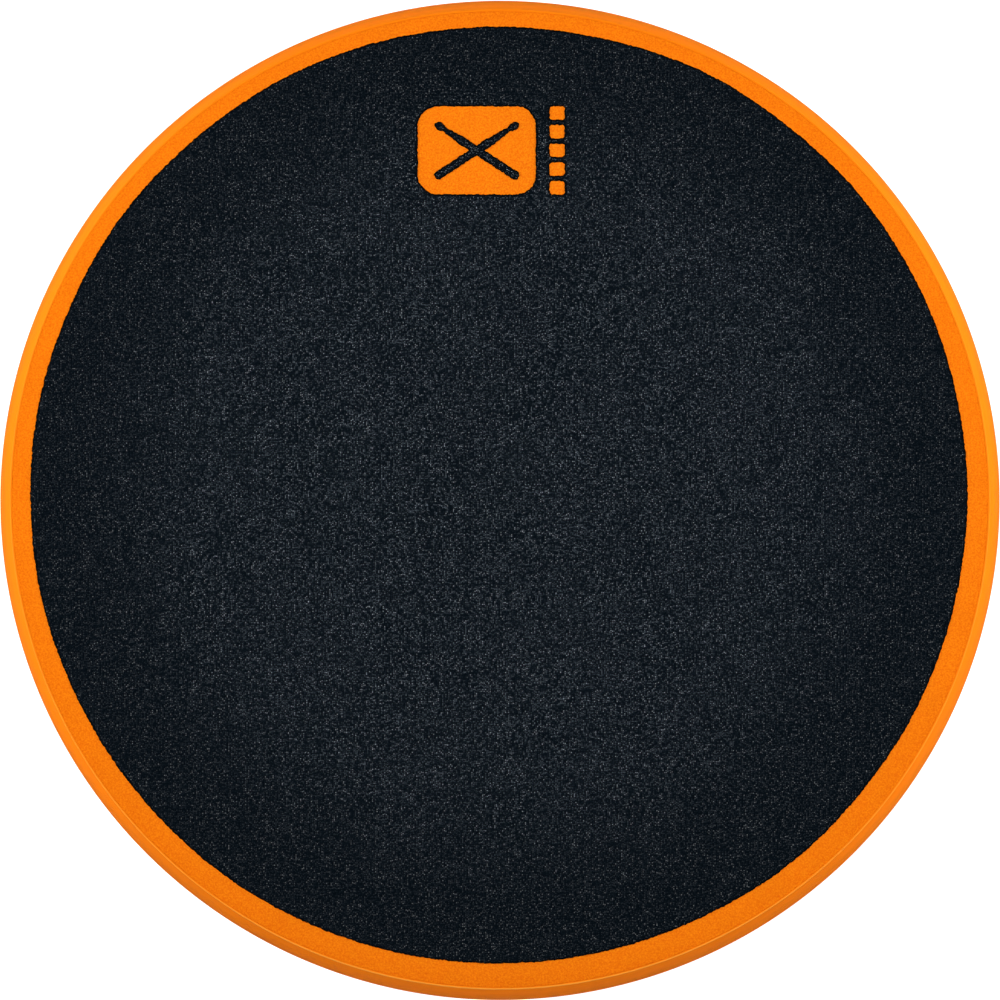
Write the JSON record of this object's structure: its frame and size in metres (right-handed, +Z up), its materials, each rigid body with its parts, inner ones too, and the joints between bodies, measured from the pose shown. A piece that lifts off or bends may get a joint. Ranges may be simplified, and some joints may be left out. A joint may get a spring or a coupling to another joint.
{
  "type": "practice pad",
  "caption": "Round drum practice pad: a black grip coating on an orange rubber sheet, over foam and a board, in a flared orange rim with a non-slip mat below.",
  "frame": {"origin": "centre of the underside, on the surface that the pad stands on", "axes": "+Z up, out of the playing face; +Y away from the player, towards the badge; +X to the player's right"},
  "size_m": [0.3048, 0.3048, 0.028],
  "materials": {
    "grip_coating": "matte",
    "orange_sheet_rubber": "matte",
    "orange_rim_rubber": "satin",
    "rebound_foam": "matte",
    "fibreboard": "matte",
    "adhesive_film": "satin",
    "base_rubber": "matte"
  },
  "bodies": {
    "root": {"playing_surface": "grip_coating", "badge_sticks": "grip_coating", "top_sheet": "orange_sheet_rubber", "sheet_adhesive": "adhesive_film", "rim": "orange_rim_rubber", "rebound_foam": "rebound_foam", "foam_adhesive": "adhesive_film", "base_board": "fibreboard", "mat_adhesive": "adhesive_film", "base_mat": "base_rubber"}
  },
  "joints": []
}
